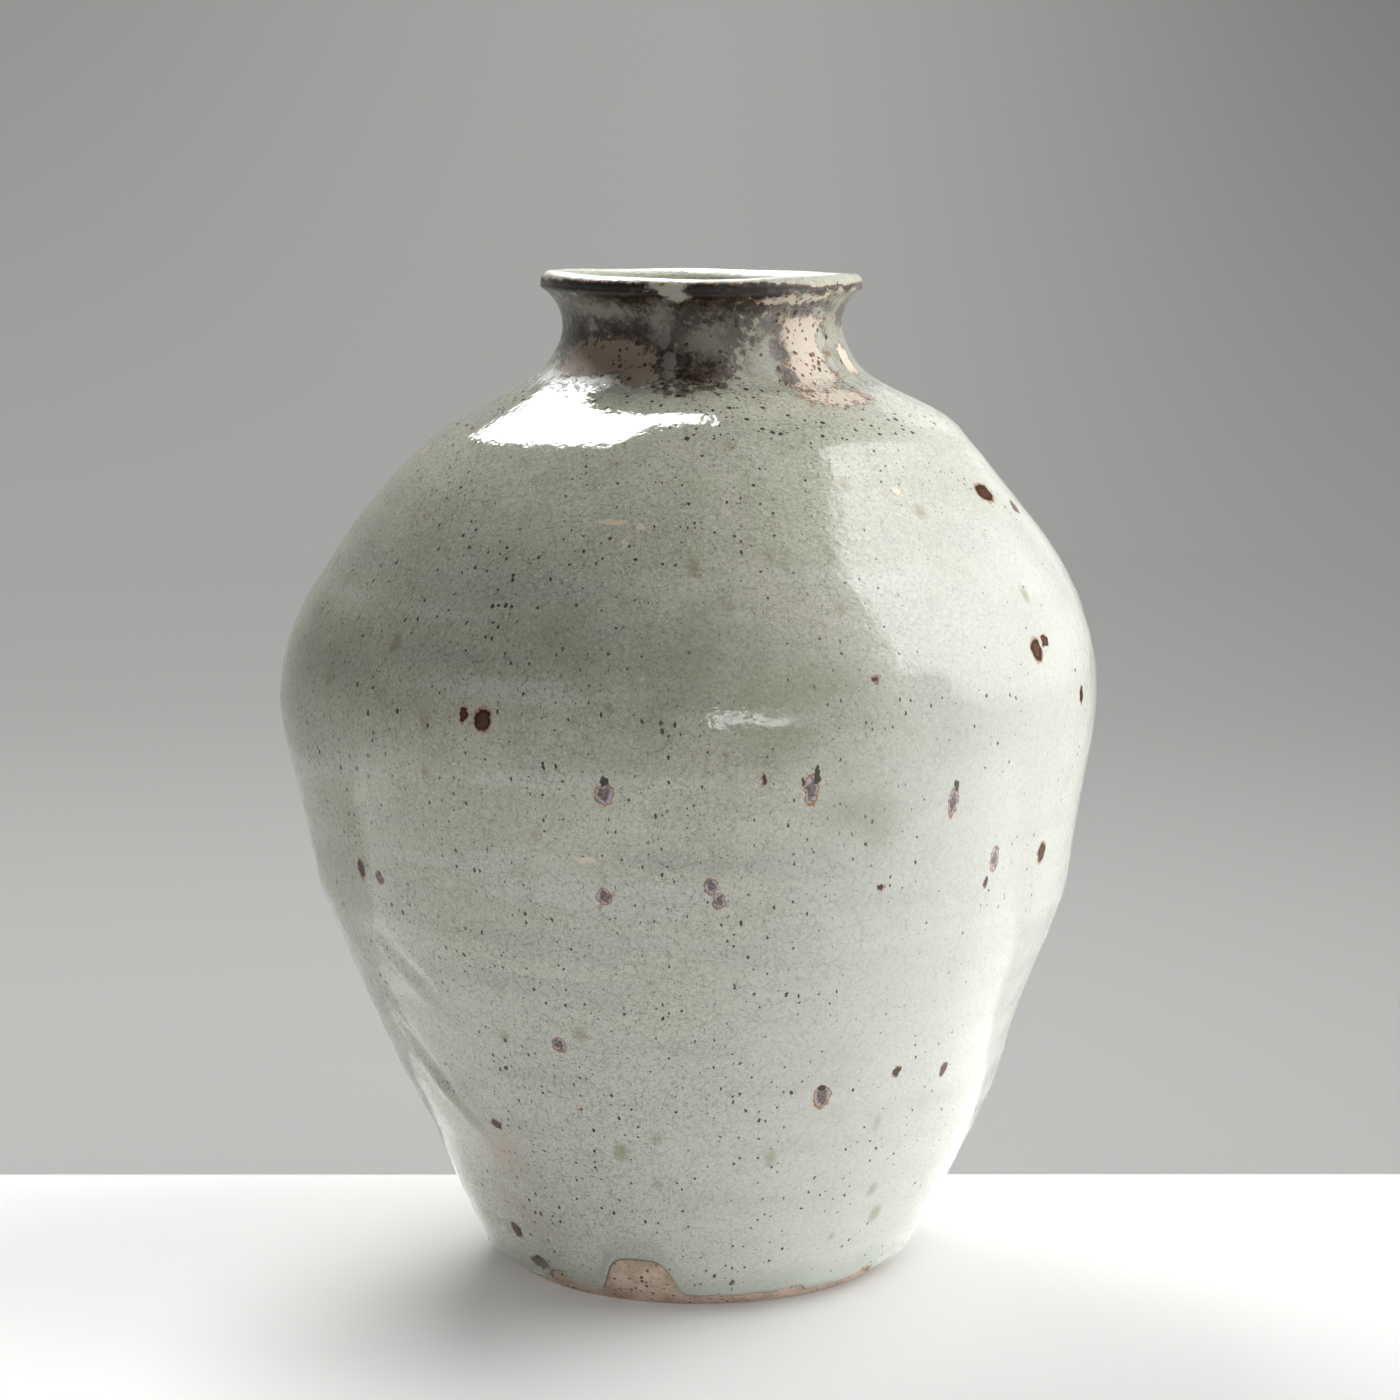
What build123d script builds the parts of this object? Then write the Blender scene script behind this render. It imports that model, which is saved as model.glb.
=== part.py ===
from build123d import *
import os

os.makedirs("parts", exist_ok=True)

# Millimetres. +Z is up, the jar stands on Z = 0 and -Y is the side that faces the viewer.

# Lower bowl, thrown by itself: a faintly swelling, flaring wall on a bevelled foot.
lower_bowl_height = 156.0
foot_contact_radius = 75.5
foot_bevel_height = 9.0
foot_top_radius = 87.0
lower_wall_swell = 2.2
seam_radius = 150.0
foot_ring_width = 15.0
foot_recess_depth = 5.0
foot_edge_fillet = 1.5
floor_thickness = 10.0
floor_fillet = 16.0

# Upper bowl, thrown by itself and turned over: straight rise, belly, shoulder, brow and slope.
upper_bowl_height = 200.0
upper_rise = 57.0
upper_rise_radius = 161.0
shoulder_drop = 76.0
shoulder_radius = 150.0
brow_drop = 17.0
brow_radius = 101.0
brow_fillet = 40.0

# Collar: the slope turns up into a waist and flares to a rounded lip.
neck_height = 44.0
neck_root_rise = 6.6
neck_root_fillet = 25.0
waist_rise = 23.0
waist_radius = 55.5
lip_radius = 64.0
lip_face = 6.0
lip_fillet = 3.0
mouth_radius = 53.0

# Clay wall, luting slip and glaze coats.
wall = 8.0
scarf_slope = 0.65
slip_thickness = 1.5
glaze_thickness = 1.0
liner_thickness = 0.8

# The widest place where the glaze drew back from the foot.
bare_patch_turn = 7.0
bare_patch_width = 30.0
bare_patch_height = 15.0

neck_joint_height = lower_bowl_height + upper_bowl_height
jar_height = neck_joint_height + neck_height
waist_height = neck_joint_height + waist_rise
floor_height = foot_recess_depth + floor_thickness

# The outer face from the edge of the glaze to the waist, drawn flat: radius across, height up.
with BuildLine() as body_face:
    lower_wall = SagittaArc(
        (foot_top_radius, foot_bevel_height), (seam_radius, lower_bowl_height), -lower_wall_swell
    )
    rise = Line(lower_wall @ 1, (upper_rise_radius, lower_bowl_height + upper_rise))
    belly = TangentArc(rise @ 1, (shoulder_radius, neck_joint_height - shoulder_drop), tangent=rise % 1)
    brow = (brow_radius, neck_joint_height - brow_drop)
    shoulder = TangentArc(belly @ 1, brow, tangent=belly % 1)
    neck_root = (waist_radius, neck_joint_height + neck_root_rise)
    slope = Line(shoulder @ 1, neck_root)
    neck = Line(slope @ 1, (waist_radius, waist_height))
    fillet(body_face.vertices().sort_by_distance(neck_root)[0], neck_root_fillet)
    fillet(body_face.vertices().sort_by_distance(brow)[0], brow_fillet)


def set_in(depth):
    """That face carried into the wall by one depth, measured square to it."""
    if depth == 0:
        return body_face.wire()
    inner = body_face.wire().offset_2d(depth, side=Side.LEFT, closed=False)
    with BuildLine() as face:
        for edge in inner.edges():
            if edge.geom_type == GeomType.LINE:
                Line(edge @ 0, edge @ 1)
            else:
                ThreePointArc(edge @ 0, edge @ 0.5, edge @ 1)
    return face.wire()


def ends_of(edge):
    """The lower and the upper end of a face."""
    return sorted((edge @ 0, edge @ 1), key=lambda point: point.Y)


def outside(depth):
    """Flat section filled to the axis, from the face at one depth, its flare and the lip."""
    edge = set_in(depth)
    low, high = ends_of(edge)
    with BuildSketch() as area:
        with BuildLine():
            add(edge)
            flare = TangentArc(high, (lip_radius - depth, jar_height - lip_face), tangent=(0, 1))
            Polyline(flare @ 1, (lip_radius - depth, jar_height), (0, jar_height), (0, low.Y), low)
        make_face()
    return area.sketch


def below(height):
    """Flat section of everything under one height."""
    with BuildSketch() as area:
        with Locations((0, height)):
            Rectangle(4 * seam_radius, 2 * jar_height, align=(Align.CENTER, Align.MAX))
    return area.sketch


def hollow(depth, floor, mouth):
    """Flat section of the space inside, from a floor with a rounded corner up to the mouth."""
    edge = set_in(depth)
    low, high = ends_of(edge)
    with BuildSketch() as area:
        with BuildLine():
            add(edge)
            throat = TangentArc(high, (mouth, jar_height), tangent=(0, 1))
            Polyline(throat @ 1, (0, jar_height), (0, low.Y), low)
        make_face()
        add(below(floor), mode=Mode.SUBTRACT)
        corner = area.vertices().group_by(Axis.Y)[0].sort_by(Axis.X)[-1]
        fillet(corner, floor_fillet)
    return area.sketch


def below_scarf(lift):
    """Flat section of everything under the scarf, which climbs inward from the seam."""
    reach = 2 * seam_radius
    with BuildSketch() as area:
        with BuildLine():
            Polyline(
                (0, lower_bowl_height + lift + seam_radius * scarf_slope),
                (reach, lower_bowl_height + lift - (reach - seam_radius) * scarf_slope),
                (reach, -jar_height),
                (0, -jar_height),
                close=True,
            )
        make_face()
    return area.sketch


clay_hollow = hollow(glaze_thickness + wall, floor_height, mouth_radius)
lined_hollow = hollow(
    glaze_thickness + wall + liner_thickness,
    floor_height + liner_thickness,
    mouth_radius - liner_thickness,
)

# Section of all the clay: the walls, and under them the foot with its bevel, ring and recess.
recess_radius = foot_contact_radius - foot_ring_width
foot_top = ends_of(set_in(glaze_thickness))[0]
with BuildSketch() as clay:
    add(outside(glaze_thickness))
    with BuildLine():
        Polyline(
            (0, foot_recess_depth),
            (recess_radius, foot_recess_depth),
            (recess_radius, 0),
            (foot_contact_radius, 0),
            foot_top,
            (0, foot_top.Y),
            close=True,
        )
    make_face()
    add(clay_hollow, mode=Mode.SUBTRACT)
    fillet(clay.vertices().group_by(Axis.Y)[0], foot_edge_fillet)

# The lower bowl ends in the scarf.
with BuildSketch() as lower_section:
    add(clay.sketch)
    add(below_scarf(0), mode=Mode.INTERSECT)

with BuildPart() as lower_bowl:
    with BuildSketch(Plane.XZ):
        add(lower_section.sketch)
    revolve(axis=Axis.Z)
lower_bowl.part.label = "lower_bowl"
export_step(lower_bowl.part, "parts/lower_bowl.step")

# Luting slip fills the scarf between the two bowls.
with BuildSketch() as belly_slip_section:
    add(clay.sketch)
    add(below_scarf(slip_thickness), mode=Mode.INTERSECT)
    add(below_scarf(0), mode=Mode.SUBTRACT)

with BuildPart() as belly_slip_joint:
    with BuildSketch(Plane.XZ):
        add(belly_slip_section.sketch)
    revolve(axis=Axis.Z)
belly_slip_joint.part.label = "belly_slip_joint"
export_step(belly_slip_joint.part, "parts/belly_slip_joint.step")

# The upper bowl sits on that slip and is cut level where the collar goes on.
with BuildSketch() as upper_section:
    add(clay.sketch)
    add(below_scarf(slip_thickness), mode=Mode.SUBTRACT)
    add(below(neck_joint_height - slip_thickness), mode=Mode.INTERSECT)

with BuildPart() as upper_bowl:
    with BuildSketch(Plane.XZ):
        add(upper_section.sketch)
    revolve(axis=Axis.Z)
upper_bowl.part.label = "upper_bowl"
export_step(upper_bowl.part, "parts/upper_bowl.step")

# A level ring of slip carries the collar.
with BuildSketch() as neck_slip_section:
    add(clay.sketch)
    add(below(neck_joint_height), mode=Mode.INTERSECT)
    add(below(neck_joint_height - slip_thickness), mode=Mode.SUBTRACT)

with BuildPart() as neck_slip_joint:
    with BuildSketch(Plane.XZ):
        add(neck_slip_section.sketch)
    revolve(axis=Axis.Z)
neck_slip_joint.part.label = "neck_slip_joint"
export_step(neck_slip_joint.part, "parts/neck_slip_joint.step")

# The collar stops one coat short of the jar's full height, so that the glaze can cross its lip.
with BuildSketch() as collar_section:
    add(clay.sketch)
    add(below(jar_height - glaze_thickness), mode=Mode.INTERSECT)
    add(below(neck_joint_height), mode=Mode.SUBTRACT)
    fillet(collar_section.vertices().group_by(Axis.Y)[-1], lip_fillet)

with BuildPart() as neck_collar:
    with BuildSketch(Plane.XZ):
        add(collar_section.sketch)
    revolve(axis=Axis.Z)
neck_collar.part.label = "neck_collar"
export_step(neck_collar.part, "parts/neck_collar.step")

# One coat runs unbroken over both bowls, apart from the patch above the foot.
with BuildSketch() as coat_section:
    add(outside(0))
    add(clay.sketch, mode=Mode.SUBTRACT)
    add(clay_hollow, mode=Mode.SUBTRACT)
    add(below(neck_joint_height), mode=Mode.INTERSECT)

with BuildPart() as body_glaze:
    with BuildSketch(Plane.XZ):
        add(coat_section.sketch)
    revolve(axis=Axis.Z)
    with BuildSketch(Plane.XZ.rotated((0, 0, -bare_patch_turn))):
        with Locations((0, foot_bevel_height)):
            Ellipse(bare_patch_width / 2, bare_patch_height)
    extrude(amount=2 * foot_top_radius, mode=Mode.SUBTRACT)
body_glaze.part.label = "body_glaze"
export_step(body_glaze.part, "parts/body_glaze.step")

# The collar's coat wraps it outside, over the lip and inside.
with BuildSketch() as collar_coat_section:
    add(outside(0))
    add(lined_hollow, mode=Mode.SUBTRACT)
    add(below(neck_joint_height), mode=Mode.SUBTRACT)
    fillet(collar_coat_section.vertices().group_by(Axis.Y)[-1], lip_fillet + glaze_thickness)
    add(collar_section.sketch, mode=Mode.SUBTRACT)

with BuildPart() as neck_glaze:
    with BuildSketch(Plane.XZ):
        add(collar_coat_section.sketch)
    revolve(axis=Axis.Z)
neck_glaze.part.label = "neck_glaze"
export_step(neck_glaze.part, "parts/neck_glaze.step")

# The liner coats the inside of both bowls, floor included.
with BuildSketch() as liner_section:
    add(clay_hollow)
    add(lined_hollow, mode=Mode.SUBTRACT)
    add(below(neck_joint_height), mode=Mode.INTERSECT)

with BuildPart() as liner_glaze:
    with BuildSketch(Plane.XZ):
        add(liner_section.sketch)
    revolve(axis=Axis.Z)
liner_glaze.part.label = "liner_glaze"
export_step(liner_glaze.part, "parts/liner_glaze.step")
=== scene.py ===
# %% [markdown]
# # A tall celadon jar
# The jar was thrown as two bowls and a neck, joined, dipped in a grey-green ash glaze and fired.
# The CAD frame gives its true size. Here the plain turned solids are replaced by three meshes that
# share one slightly slumped form: the stoneware body, the glaze outside, and the glaze inside.

# %% Load the shared frame
import math

import bpy
import numpy as np
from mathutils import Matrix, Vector


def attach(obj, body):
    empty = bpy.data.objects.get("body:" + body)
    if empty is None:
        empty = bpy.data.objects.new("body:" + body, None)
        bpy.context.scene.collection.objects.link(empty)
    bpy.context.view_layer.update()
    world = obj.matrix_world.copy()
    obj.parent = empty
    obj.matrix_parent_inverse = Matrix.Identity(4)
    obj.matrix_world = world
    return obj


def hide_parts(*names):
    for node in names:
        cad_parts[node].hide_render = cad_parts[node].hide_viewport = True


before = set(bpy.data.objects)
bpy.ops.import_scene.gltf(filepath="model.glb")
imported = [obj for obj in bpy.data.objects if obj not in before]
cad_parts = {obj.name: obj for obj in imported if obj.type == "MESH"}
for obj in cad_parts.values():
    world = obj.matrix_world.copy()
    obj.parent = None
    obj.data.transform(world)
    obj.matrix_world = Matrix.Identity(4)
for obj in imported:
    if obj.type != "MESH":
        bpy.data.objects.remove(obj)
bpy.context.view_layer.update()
MM = 0.001

# %% [markdown]
# ## The camera
# The jar was photographed with a long lens from a little above its lip. The height of the lens
# shows in how flat the mouth looks, and the table's back edge gives the tilt. A real focal length
# and a real place keep the perspective true, so marks can be placed by their pixels later.

# %% Camera
PHOTO_SIZE = 1400
LENS_MM = 96.76
SENSOR_MM = 36
CAMERA_PLACE = (0.0016, -1.5, 0.4532)
CAMERA_TILT = math.radians(81.48)


def put(name, data):
    """Puts a mesh, a lamp or a camera into the scene."""
    made = bpy.data.objects.new(name, data)
    bpy.context.collection.objects.link(made)
    return made


camera = put("camera", bpy.data.cameras.new("camera"))
camera.data.lens = LENS_MM
camera.data.sensor_width = SENSOR_MM
camera.location = CAMERA_PLACE
camera.rotation_euler = (CAMERA_TILT, 0, 0)
bpy.context.scene.camera = camera
focal_px = PHOTO_SIZE * LENS_MM / SENSOR_MM
print("focal length in pixels:", round(focal_px))

# %% [markdown]
# ## The outline
# The frame holds the jar as the lathe would leave it. Its section is read by casting rays at the solids,
# so the size stays the CAD's. A thrown jar is never quite round, though: this one bulges more to the left,
# and its neck leans to the right. A short list says how far each side sags, and a smooth curve joins it.

# %% Section of the frame, and how it slumped, in mm
LIP_ROOT = 394.0
FOOT_TOP = 9.4
FOOT_RADIUS = 75.5
GLAZE = 1.0
WALL = 8.0
SLUMP = np.array([  # height, how far the left side stands out, how far the right side does
    (9, -1.4, 1.0), (30, -1.0, 2.4), (60, -2.8, 3.7), (80, -1.0, 3.0), (105, -0.3, -0.2),
    (150, 1.2, -0.5), (190, 2.0, -2.3), (220, 3.4, -2.5), (260, 2.8, -1.2), (282, 0.4, -0.6),
    (325, 0.0, 0.2), (333, -0.6, 1.6), (347, 0.4, 7.6), (356, 0.2, 6.0), (366, -0.6, 4.2),
    (378, -2.6, 2.7), (394, -2.6, 1.8),
])


def smooth_through(x, knots, values):
    """A smooth curve through the knots, read at x."""
    slopes = np.gradient(values, knots)
    x = np.clip(x, knots[0], knots[-1])
    cell = np.clip(np.searchsorted(knots, x) - 1, 0, len(knots) - 2)
    step = knots[cell + 1] - knots[cell]
    t = (x - knots[cell]) / step
    ends = values[cell] * (1 + 2 * t) * (1 - t) ** 2 + values[cell + 1] * t * t * (3 - 2 * t)
    return ends + step * t * (1 - t) * (slopes[cell] * (1 - t) - slopes[cell + 1] * t)


CLEAR_OF_JAR = 500.0  # a place in mm to the right of the whole jar
STEEPEST = 2.4  # radius gained per height; a stretch of wall that lies flatter counts as this


def frame_radius(z):
    """Where a ray from the right first meets a coat of the frame at this height, in mm."""
    start = Vector((CLEAR_OF_JAR * MM, 0, z * MM))
    reached = []
    for node in ("body_glaze", "neck_glaze"):
        met, place, _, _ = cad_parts[node].ray_cast(start, Vector((-1, 0, 0)))
        reached.append(place[0] / MM if met else 0.0)
    return max(reached)


SOFTEN = 6  # mm over which the facets of the frame's mesh are evened out
section_z = np.arange(FOOT_TOP + 0.6, LIP_ROOT + 0.1, 1.0)
section_r = np.array([frame_radius(z) for z in section_z])
window = np.hanning(2 * SOFTEN + 1) / np.hanning(2 * SOFTEN + 1).sum()
below = 2 * section_r[0] - section_r[SOFTEN:0:-1]
beyond = 2 * section_r[-1] - section_r[-2:-SOFTEN - 2:-1]
section_r = np.convolve(np.concatenate([below, section_r, beyond]), window, "valid")


def radius_at(z):
    """Mean radius of the outside at a height."""
    z = np.asarray(z, float)
    return np.interp(z, section_z, section_r) + smooth_through(z, SLUMP[:, 0], SLUMP[:, 1:].mean(axis=1))


def slip_at(z):
    """How far the ring at a height has slipped to the right."""
    return smooth_through(np.asarray(z, float), SLUMP[:, 0], (SLUMP[:, 2] - SLUMP[:, 1]) / 2)


def inside_radius(z, depth):
    """Radius of a surface that lies this deep under the outline, square to it."""
    slope = (radius_at(np.asarray(z) + 2) - radius_at(np.asarray(z) - 2)) / 4
    slope = np.clip(slope, -STEEPEST, STEEPEST)
    return radius_at(z) - depth * np.sqrt(1 + slope * slope)


def clay_radius(z):
    """Outside of the clay: under the glaze on the wall, then the turned bevel of the foot."""
    z = np.asarray(z, float)
    bevel = FOOT_RADIUS + (radius_at(FOOT_TOP) - GLAZE - FOOT_RADIUS) * z / FOOT_TOP
    return np.where(z < FOOT_TOP, bevel, inside_radius(np.maximum(z, FOOT_TOP), GLAZE))


print("radius in mm at belly, neck and lip:", [round(float(radius_at(z)), 1) for z in (235, 378, LIP_ROOT)])

# %% [markdown]
# ## Finding a place by its pixel
# Blooms and bare patches have to sit where the photograph shows them, and on the jar, not in front of it.
# A ray is walked out from the lens through the pixel until it dips under the outline.

# %% From a pixel to a place on the jar
WALK = np.arange(1150, 1700, 0.25)  # how far out from the lens the ray is tried, in mm


def on_jar(px, py):
    """The place in mm where the jar's surface is seen at this pixel of the photograph."""
    across = (px - PHOTO_SIZE / 2) / focal_px
    up = (PHOTO_SIZE / 2 - py) / focal_px
    ray = camera.rotation_euler.to_matrix() @ Vector((across, up, -1))
    walk = np.array(CAMERA_PLACE) / MM + WALK[:, None] * np.array(ray)
    gap = np.hypot(walk[:, 0] - slip_at(walk[:, 2]), walk[:, 1]) - radius_at(walk[:, 2])
    return walk[np.argmax(gap < 0)]


def round_from(middle, angle):
    """How far round the jar an angle lies from another, the short way."""
    return (angle - middle + math.pi) % (2 * math.pi) - math.pi


def from_pixel(px, py, angle):
    """The height of the place at a pixel, and how far round the jar from it an angle lies, in mm."""
    x, y, z = on_jar(px, py)
    return z, round_from(math.atan2(y, x - slip_at(z)), angle) * float(radius_at(z))


print("centre of the photograph meets the jar at", on_jar(PHOTO_SIZE / 2, PHOTO_SIZE / 2).round(1))

# %% [markdown]
# ## Hand marks
# Light slides over a hand-made pot in wobbling bands, because the wall is full of shallow waves: soft
# lumps a few centimetres wide, the potter's finger rings, and the glaze's own ripple. Many small cosine
# waves round the pot give all of them, and whole numbers of waves keep the seam closed. Two dents left by
# fingers and a fuller root of the neck are added where the photograph shows them.

# %% Waves over the whole form
COLUMNS = 320
theta = math.pi / 2 + np.arange(COLUMNS) * 2 * math.pi / COLUMNS  # the seam lies at the back
dice = np.random.default_rng(24)
MEAN_RADIUS = 140.0


def make_waves(count, shortest, longest, depth):
    """Waves as rows: whole turns round the pot, turns per mm of height, start, depth in mm."""
    length = np.exp(dice.uniform(math.log(shortest), math.log(longest), count))
    heading = dice.uniform(0, math.pi, count)
    turns = np.round(2 * math.pi * MEAN_RADIUS * np.cos(heading) / length)
    rise = 2 * math.pi * np.sin(heading) / length
    start = dice.uniform(0, 2 * math.pi, count)
    return np.stack([turns, rise, start, depth * (length / longest) ** 1.3 / math.sqrt(count)], axis=1)


def add_up(waves, angle, z):
    """The depths of all the waves together at an angle and a height."""
    total = np.zeros(np.broadcast(angle, z).shape)
    for turns, rise, start, depth in waves:
        total += depth * np.cos(turns * angle + rise * z + start)
    return total


lumps = make_waves(14, 90, 320, 1.6)
ripples = make_waves(60, 11, 60, 0.42)


def ease(x):
    """From 0 to 1 with a soft start and a soft end."""
    x = np.clip(x, 0, 1)
    return x * x * (3 - 2 * x)


SWELL = 4.6
SWELL_TURN = 4.63  # radians round from the right, so it faces the lens
SWELL_WIDTH = 0.33
SWELL_FROM = 338
SWELL_TO = 367
SWELL_FADE = 14


def root_swell(angle, z):
    """Towards the lens the shoulder runs fuller into the neck, as the white patch mirrored there shows."""
    facing = np.exp(-((angle - SWELL_TURN) / SWELL_WIDTH) ** 2)
    return SWELL * facing * ease((z - SWELL_FROM) / SWELL_FADE) * ease((SWELL_TO - z) / SWELL_FADE)


LEDGES = [  # pixel x, y, fall, half length, half width and depth in mm
    (405, 969, -0.8, 15, 6, 1.5), (432, 1067, -1.2, 16, 6, 1.5),
]


def finger_ledges(angle, z):
    """Two slanting dents low on the left, where the wall was pressed in above and stands out below."""
    total = np.zeros(np.broadcast(angle, z).shape)
    for px, py, fall, long, wide, deep in LEDGES:
        home, across = from_pixel(px, py, angle)
        up = (z - home - fall * across) / wide
        total -= 2 * deep * up * np.exp(-up * up - (across / long) ** 2)
    return total


RING_DEPTH = 0.16
RING_STEP = 15  # mm from one finger ring to the next
RING_HOME = 85  # the height where the rings are plainest
RING_SPREAD = 60


def hand_marks(angle, z):
    """How far the wall stands out or in, in mm. The sides at left and right keep their outline."""
    side = np.sin(angle) ** 2
    wobble = 1.5 * np.cos(angle * 2 + z / RING_SPREAD)
    rings = RING_DEPTH * np.cos(2 * math.pi * z / RING_STEP + angle + wobble)
    rings = rings * (0.35 + 0.65 * np.exp(-((z - RING_HOME) / RING_SPREAD) ** 2))
    local = root_swell(angle, z) + finger_ledges(angle, z)
    return add_up(lumps, angle, z) * side + add_up(ripples, angle, z) + rings + local


RIM_WAVES = [(1, 0.7, 2.6), (2, 0.45, 0.4), (3, 0.35, 1.9), (7, 0.15, 0.8)]  # turns, depth in mm, start
RIM_FROM = 372  # below this height the rim's rise and fall has died away
RIM_FULL = 400


def rim_lift(angle, z):
    """The cut rim was smoothed by hand, so it rises and falls by about a millimetre."""
    lift = sum(depth * np.cos(turns * angle + start) for turns, depth, start in RIM_WAVES)
    return lift * np.clip((z - RIM_FROM) / (RIM_FULL - RIM_FROM), 0, 1) ** 2


MARKS_FULL_AT = 60  # the marks die away from this radius towards the axis
FLAT_FOOT = 2  # up to this height the foot stays true
FOOT_FADE = 12  # and over this much more the marks set in


def bend(radius, z):
    """Turns rows of radius and height into places in metres on the slumped jar."""
    angle = np.broadcast_to(theta, radius.shape)
    share = np.clip(radius / MARKS_FULL_AT, 0, 1) * np.clip((z - FLAT_FOOT) / FOOT_FADE, 0, 1)
    far = radius + hand_marks(angle, z) * share
    x = far * np.cos(angle) + slip_at(z)
    return np.stack([x, far * np.sin(angle), z + rim_lift(angle, z)], axis=2) * MM


depths = hand_marks(theta[None, :], np.arange(20, 390, 4.0)[:, None])
print("hand marks in mm, least and most:", depths.min().round(2), depths.max().round(2))

# %% [markdown]
# ## Turning rows into a mesh
# A turned form is a grid: rows up the section, columns round the axis. One function makes all three
# meshes. A row at the axis shrinks to one point, and a section that comes back to its start is closed.
# It also lays out a map, so the finish can be painted onto the surface.

# %% Mesh maker
def turned(name, places, along, first_point=False, last_point=False):
    """Rows of places become a closed mesh. `along` gives each row's share of the map's height."""
    rows = len(places)
    index = np.arange(rows * COLUMNS).reshape(rows, COLUMNS)
    if first_point:
        index[0] = index[0, 0]
    if last_point:
        index[-1] = index[-1, 0]
    closed = not (first_point or last_point)
    faces, marks = [], []
    for i in range(rows if closed else rows - 1):
        k = (i + 1) % rows
        low, high = along[i], along[i + 1] if i + 1 < len(along) else 1.0
        for j in range(COLUMNS):
            n = (j + 1) % COLUMNS
            left, right = j / COLUMNS, (j + 1) / COLUMNS
            corners = [(index[i, j], left, low), (index[i, n], right, low),
                       (index[k, n], right, high), (index[k, j], left, high)]
            kept = [c for p, c in enumerate(corners) if c[0] != corners[p - 1][0]]
            faces.append([int(c[0]) for c in kept])
            marks.extend((c[1], c[2]) for c in kept)
    used = np.unique(index)
    renumber = {int(old): new for new, old in enumerate(used)}
    mesh = bpy.data.meshes.new(name)
    mesh.from_pydata(places.reshape(-1, 3)[used].tolist(), [], [[renumber[v] for v in f] for f in faces])
    layer = mesh.uv_layers.new(name="OFBake")
    layer.data.foreach_set("uv", np.array(marks).ravel())
    mesh.shade_smooth()
    piece = put(name, mesh)
    print(name, "has", len(faces), "faces and", len(used), "points")
    return piece, used


def lengths_along(radius, z):
    """Each row's distance along the section, as a share of the whole."""
    steps = np.hypot(np.diff(radius), np.diff(z))
    return np.concatenate([[0], np.cumsum(steps)]) / steps.sum()


def all_round(values):
    """One value for each row, repeated round the jar."""
    return np.repeat(values[:, None], COLUMNS, axis=1)


LIP_HALF = 5.3  # half the lip's width with its glaze
LIP_HIGH = 5.8
LIP_LEAN = 1.3
THROAT_FROM = 378  # from here to the lip the throat draws in by a millimetre


def lip_arc(depth, count, ends):
    """The rounded lip this deep under its glaze, from outside over the crest to inside, in mm."""
    turn = np.linspace(*ends, count)
    radius = float(radius_at(LIP_ROOT)) - LIP_HALF + (LIP_HALF - depth) * np.cos(turn)
    return radius + LIP_LEAN * np.sin(turn), LIP_ROOT + (LIP_HIGH - depth) * np.sin(turn)


def throat_radius(z, depth):
    """Radius of the inside at this depth, drawn in a little towards the lip."""
    return inside_radius(z, depth) - np.clip((z - THROAT_FROM) / (LIP_ROOT - THROAT_FROM), 0, 1) ** 1.5


# %% [markdown]
# ## The stoneware body
# The clay shows only at the foot and where the glaze crawled away. It is still modelled whole: a wall
# 8 mm thick, a floor, and a foot cut hollow underneath so the jar stands on a ring. It stands for the
# two bowls, the collar and both slip joints, which are one lump of clay after firing.

# %% Clay body
FLOOR = 15.0
RECESS = 5.0
RING_INSIDE = 60.5
FILLET = 16.0


def section_inside(depth, floor, rows):
    """The inside wall from just under the lip down to the floor's centre."""
    z = np.linspace(LIP_ROOT - 2, floor + FILLET, rows)
    wall = throat_radius(z, depth)
    turn = np.linspace(0, math.pi / 2, 9)[1:]
    round_r = wall[-1] - FILLET + FILLET * np.cos(turn)
    round_z = floor + FILLET - FILLET * np.sin(turn)
    flat = np.linspace(round_r[-1], 0, 9)[1:]
    return np.concatenate([wall, round_r, flat]), np.concatenate([z, round_z, np.full(8, floor)])


under_r = np.array([0, 20, 40, RING_INSIDE - 1.5, RING_INSIDE, RING_INSIDE + 1, 66, 72,
                    FOOT_RADIUS - 1, FOOT_RADIUS])
under_z = np.array([RECESS, RECESS, RECESS, RECESS, RECESS - 1.5, 0.4, 0, 0, 0, 0.6])
wall_z = np.concatenate([np.linspace(1.6, 40, 32), np.linspace(42.5, LIP_ROOT - 1, 120)])
lip_r, lip_z = lip_arc(GLAZE, 12, (0.1, math.pi - 0.1))
in_r, in_z = section_inside(GLAZE + WALL, FLOOR, 80)
clay_r = np.concatenate([under_r, clay_radius(wall_z), lip_r, in_r])
clay_z = np.concatenate([under_z, wall_z, lip_z, in_z])
clay_places = bend(all_round(clay_r), all_round(clay_z))
clay, _ = turned("stoneware_body", clay_places, lengths_along(clay_r, clay_z), True, True)
clay.data.set_sharp_from_angle(angle=math.radians(50))
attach(clay, "root")
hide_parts("lower_bowl", "upper_bowl", "neck_collar", "belly_slip_joint", "neck_slip_joint")

# %% [markdown]
# ## The glaze outside
# Glaze is a coat of glass about a millimetre thick. It runs as it melts, so its lower edge wanders and
# ends in a fat roll, and in places it crawls back and leaves the clay bare. A painted line would stay
# flat, so the coat is a closed skin of its own: its thickness is added to the clay, and it thins to
# nothing at the edge.

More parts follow.
